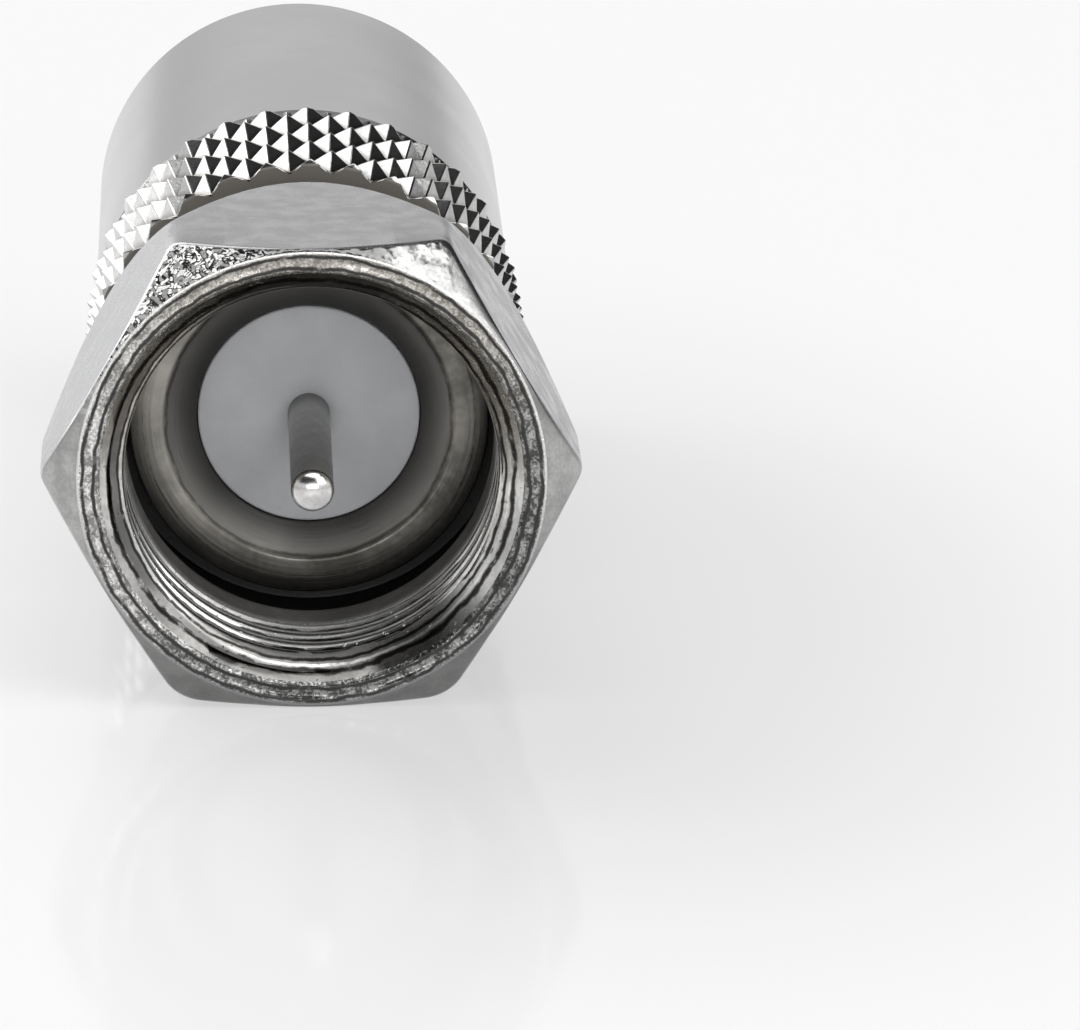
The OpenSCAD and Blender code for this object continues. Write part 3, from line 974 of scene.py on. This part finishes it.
def makeContact():
    sizes = contactSizes
    front, end, outer = spanOf("socket_contact")
    bore, tail, hole = sizes["boreDiameter"] / 2, sizes["tailDiameter"] / 2, sizes["tailHole"] / 2
    shoulder = spanOf("rear_insulator")[1]
    slotStart = end - sizes["slotLength"]

    # one finger, swept through its share of the circle, then copied round
    bm = bmesh.new()
    gap = sizes["slotWidth"] / ((outer + bore) / 2)
    inside, outside = sizes["tipBreak"]
    section = [(bore + inside, end), (outer - outside, end), (outer, end - outside), (outer, slotStart),
               (bore, slotStart), (bore, end - outside)]
    face = bm.faces.new([bm.verts.new(atTurn(r, d, gap / 2)) for r, d in section])
    bmesh.ops.spin(bm, geom=[face], cent=axisPoint, axis=along,
                   angle=fullTurn / sizes["fingers"] - gap, steps=24)
    bmesh.ops.remove_doubles(bm, verts=bm.verts, dist=mergeWithin)
    bmesh.ops.recalc_face_normals(bm, faces=bm.faces)
    soften(bm, sizes["edgeRound"], segments=2, minAngle=30)
    bmesh.ops.rotate(bm, verts=bm.verts, cent=axisPoint,
                     matrix=Matrix.Rotation(math.radians(sizes["firstSlot"]), 3, "Y"))
    repeatRound(bm, sizes["fingers"])
    for vert in bm.verts:
        depth = depthAt(vert.co)
        squeeze = sizes["pinchIn"] * easeIn(depth, slotStart, end)
        vert.co = atTurn(radiusAt(vert.co) - squeeze, depth, turnOf(vert.co))
    fingerMesh = meshFrom(bm, "fingerStart")

    # the solid part behind the slots, with the hole for the pin's stem
    bm = bmesh.new()
    boreFloor, holeEnd = end - sizes["boreDepth"], front + sizes["tailHoleDepth"]
    rootEnd = slotStart + sizes["rootReach"]
    lathe(bm, [(0, boreFloor), (bore, boreFloor), (bore, rootEnd), (outer, rootEnd), (outer, shoulder),
               (tail, shoulder), (tail, front), (hole, front), (hole, holeEnd), (0, holeEnd)],
          closed=False, steps=96)
    soften(bm, sizes["edgeRound"], segments=2, minAngle=30,
           where=lambda p: radiusAt(p) > bore - nearby and depthAt(p) < slotStart)
    addMesh(bm, fingerMesh)
    return keepPiece(bm, "socketContact", "socket_contact", "adapter", [contactMetal])


makeBody()
makeRearInsulator()
makeContact()
print("body, rear insulator and contact")


# the studio: a glossy pale floor, soft boxes and dark cards; its lengths are metres
studio = {
    "floorSize": 1.3,         # half its side
    "floorColor": (0.97, 0.97, 0.975),
    "shadeColor": (0.60, 0.60, 0.625),    # a painted shadow on the floor by the nut, centred here, and drawn out along the axis
    "shadeMiddle": (0.006, -0.005, 0),    # centred here, and drawn out along the axis
    "shadeStretch": (1, 0.5, 1),
    "shadeReach": (0.003, 0.019),
    "floorRoughness": 0.09,
    "floorIOR": 1.38,
    "floorLift": 0.5,         # how far the floor is lifted to white where it is seen or reflected
    "greys": (0.60, 0.82, 0.14),          # close above the floor all round, farther up, overhead
    "greySteps": ((0.08, 0.22), (0.30, 0.62)),       # sines of the angles between which each meets the next
    "lamps": [                # name, azimuth, elevation, distance, width, height, brightness
        ("keyRight", 131, 38, 0.75, 0.55, 0.42, 2.4),
        ("backLeftLow", -45, 23.5, 0.75, 0.54, 0.54, 2.4),
        ("backLeftHigh", -26, 52, 0.75, 0.42, 0.26, 2.4),
        ("overhead", 176, 74, 0.75, 0.80, 0.46, 2.2),
        ("frontFill", 180, 14, 0.75, 0.60, 0.20, 2.2),
    ],
    "cards": [                # dark cards, the same without brightness
        ("cardFrontLeft", -140, 44, 0.62, 0.50, 0.42),
        ("cardFrontTop", 178, 45, 0.64, 0.36, 0.24),
        ("cardBackRight", 48, 33, 0.68, 0.76, 0.80),
    ],
    "cardColor": (0.02, 0.02, 0.02, 1),
    "cardRoughness": 0.9,
}
aim = (cadBox[0] + cadBox[1]) / 2


def towards(azimuth, elevation):             # azimuth 0 is behind the socket end, 90 to the right
    a, e = math.radians(azimuth), math.radians(elevation)
    return Vector((math.sin(a) * math.cos(e), math.cos(a) * math.cos(e), math.sin(e)))


def facing(place, way):                      # stands at a place with its back to a direction
    return Matrix.Translation(place) @ way.to_track_quat("Z", "Y").to_matrix().to_4x4()


def placeAt(azimuth, elevation, distance):
    way = towards(azimuth, elevation)
    return facing(aim + way * distance, way)


def addSheet(name, width, height, matrix, material):
    bm = bmesh.new()
    bmesh.ops.create_grid(bm, x_segments=1, y_segments=1, size=0.5)
    bmesh.ops.scale(bm, vec=(width, height, 1), verts=bm.verts)
    bmesh.ops.transform(bm, matrix=matrix, verts=bm.verts)
    mesh = meshFrom(bm, name)
    mesh.materials.append(material)
    sheet = addObject(name, mesh)


def makeFloor():
    material, tree, shader = plainMaterial("paleAcrylic", {
        "Roughness": studio["floorRoughness"], "IOR": studio["floorIOR"]})
    spot = put(tree, "ShaderNodeTexCoord").outputs["Object"]
    moved = vectorCalc(tree, "SUBTRACT", spot, studio["shadeMiddle"])[0]
    drawn = vectorCalc(tree, "MULTIPLY", moved, studio["shadeStretch"])[0]
    faded = ramp(tree, vectorCalc(tree, "LENGTH", drawn)["Value"], *studio["shadeReach"])
    color = blendColor(tree, faded, studio["shadeColor"], studio["floorColor"])
    tree.links.new(color, shader.inputs["Base Color"])
    seen = put(tree, "ShaderNodeLightPath").outputs
    share = most(tree, *(seen[ray] for ray in ("Is Camera Ray", "Is Glossy Ray", "Is Transmission Ray")))
    white = put(tree, "ShaderNodeEmission", {"Color": (1, 1, 1, 1), "Strength": 1.0}).outputs[0]
    lifted = put(tree, "ShaderNodeMixShader", {
        0: times(tree, share, studio["floorLift"]), 1: shader.outputs[0], 2: white}).outputs[0]
    tree.links.new(lifted, tree.nodes["Material Output"].inputs["Surface"])
    side = 2 * studio["floorSize"]
    addSheet("studioFloor", side, side, Matrix.Identity(4), material)


def makeLamp(name, azimuth, elevation, distance, width, height, brightness):
    lamp = bpy.data.lights.new(name, "AREA")
    lamp.shape = "RECTANGLE"
    lamp.size, lamp.size_y = width, height
    lamp.energy = brightness * math.pi * width * height
    addObject(name, lamp).matrix_world = placeAt(azimuth, elevation, distance)


def makeWorld():                             # grey all round, in three soft bands
    world = bpy.data.worlds.new("tent")
    world.use_nodes = True
    tree = world.node_tree
    height = splitPlace(tree, put(tree, "ShaderNodeTexCoord").outputs["Generated"])["Z"]
    skirt, backdrop, ceiling = ([grey] * 3 for grey in studio["greys"])
    lowStep, highStep = (ramp(tree, height, *step) for step in studio["greySteps"])
    color = blendColor(tree, highStep, blendColor(tree, lowStep, skirt, backdrop), ceiling)
    tree.links.new(color, tree.nodes["Background"].inputs["Color"])
    bpy.context.scene.world = world


def makeStudio():
    makeFloor()
    black = plainMaterial("cardBlack", {
        "Base Color": studio["cardColor"], "Roughness": studio["cardRoughness"]})[0]
    for name, azimuth, elevation, distance, width, height in studio["cards"]:
        addSheet(name, width, height, placeAt(azimuth, elevation, distance), black)
    for lamp in studio["lamps"]:
        makeLamp(*lamp)
    makeWorld()


# seen from just above, nearly along the axis, with the part in the upper left of the picture
shot = {
    "lens": 292.86,
    "sensor": 36.0,
    "clip": (0.01, 10.0),
    "from": (-2.13, -197.37, 54.99),         # millimetres from the middle of the nut's face
    "pan": 2.1615,
    "tilt": -15.8,
}


def makeCamera():
    camera = bpy.data.cameras.new("shot")
    camera.lens, camera.sensor_width = shot["lens"], shot["sensor"]
    camera.clip_start, camera.clip_end = shot["clip"]
    holder = addObject("shot", camera)
    x, y, z = shot["from"]
    holder.matrix_world = facing(Vector((x, noseY + y, axisZ + z)) * mm, -towards(shot["pan"], shot["tilt"]))
    bpy.context.scene.camera = holder


makeStudio()
makeCamera()
bpy.context.scene.view_settings.view_transform = "Standard"
print("studio and camera")
